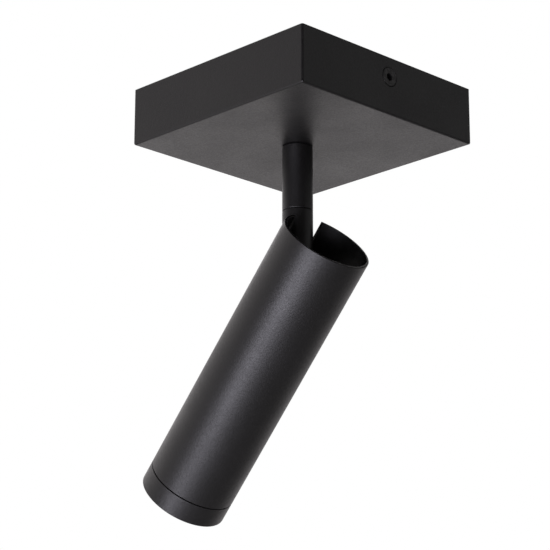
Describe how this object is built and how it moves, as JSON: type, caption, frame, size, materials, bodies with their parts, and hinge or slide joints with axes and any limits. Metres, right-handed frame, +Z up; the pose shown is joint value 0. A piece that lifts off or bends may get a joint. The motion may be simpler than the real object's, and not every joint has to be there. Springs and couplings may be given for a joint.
{
  "type": "surface mounted ceiling spotlight",
  "caption": "Black ceiling spotlight: a square canopy, a round stem that swivels, and a long tube head that tilts in its slotted open top, with a screw-on front ring.",
  "frame": {"origin": "middle of the canopy's ceiling face, which is also the middle of the ceiling bracket's two screw slots", "axes": "+Z up into the ceiling, +X through the canopy's side screw on the side that the head's open top leans to, +Y along the canopy's other sides"},
  "size_m": [0.2023, 0.14, 0.247],
  "materials": {
    "black_coat": "fine-grained satin black powder coat on aluminium",
    "zinc_steel": "zinc-plated steel",
    "black_steel": "blackened steel",
    "brass": "bare brass",
    "white_plastic": "moulded plastic",
    "ceramic": "unglazed ceramic",
    "lamp_shell": "moulded lamp shell",
    "phosphor": "light source",
    "washer_plastic": "slip washer plastic",
    "black_rubber": "rubber",
    "lead_sheath": "lead sheath",
    "earth_sheath": "green and yellow sheath",
    "clear_glass": "clear"
  },
  "bodies": {
    "base": {"canopy_cover": "black_coat", "ceiling_bracket": "zinc_steel", "canopy_screws": "black_steel", "clinch_nuts": "zinc_steel", "terminal_block": "white_plastic", "terminal_screws": "brass", "block_screws": "zinc_steel", "earth_screw": "zinc_steel", "earth_tag": "brass", "earth_lead": "earth_sheath", "stem_sleeve": "black_coat", "stop_pin": "zinc_steel", "supply_lead": "lead_sheath"},
    "stem_swivel": {"swivel_shaft": "zinc_steel", "swivel_washer": "washer_plastic", "stop_washer": "zinc_steel", "swivel_nuts": "zinc_steel", "knuckle": "black_coat"},
    "head": {"head_tube": "black_coat", "ledge_ring": "zinc_steel", "tilt_bracket": "black_steel", "bracket_screws": "zinc_steel", "pivot_bolt": "black_steel", "pivot_nut": "zinc_steel", "pivot_spring_washer": "zinc_steel", "tilt_washers": "washer_plastic", "standoffs": "zinc_steel", "holder_plate": "zinc_steel", "plate_screws": "zinc_steel", "holder_screws": "zinc_steel", "lamp_holder": "ceramic", "lamp_body": "lamp_shell", "lamp_lens": "clear_glass", "light_source": "phosphor", "lamp_pins": "brass", "lamp_lead": "lead_sheath", "lead_grommet": "black_rubber"},
    "glass_carrier": {"front_glass": "clear_glass", "glass_clip": "black_steel"},
    "screw_ring": {"front_ring": "black_coat"}
  },
  "joints": [
    {"name": "pan", "type": "hinge", "parent": "base", "child": "stem_swivel", "pos_m": [-0.0048, 0.001, -0.06], "axis": [0, 0, 1], "range_deg": [-158, 170]},
    {"name": "tilt", "type": "hinge", "parent": "stem_swivel", "child": "head", "pos_m": [-0.0048, 0.001, -0.1239], "axis": [0.1045, 0.9945, 0], "range_deg": [-46.6, 43.4]},
    {"name": "ring_advance", "type": "slide", "parent": "head", "child": "glass_carrier", "axis": [-0.7226, 0.0759, -0.6871], "range_m": [0, 0.0075]},
    {"name": "ring_turn", "type": "hinge", "parent": "glass_carrier", "child": "screw_ring", "pos_m": [-0.0048, 0.001, -0.1239], "axis": [-0.7226, 0.0759, -0.6871], "range_deg": [0, 1800]}
  ],
  "couplings": [
    {"joint": "ring_advance", "follows": "ring_turn", "m_per_rad": 0.00023873}
  ]
}
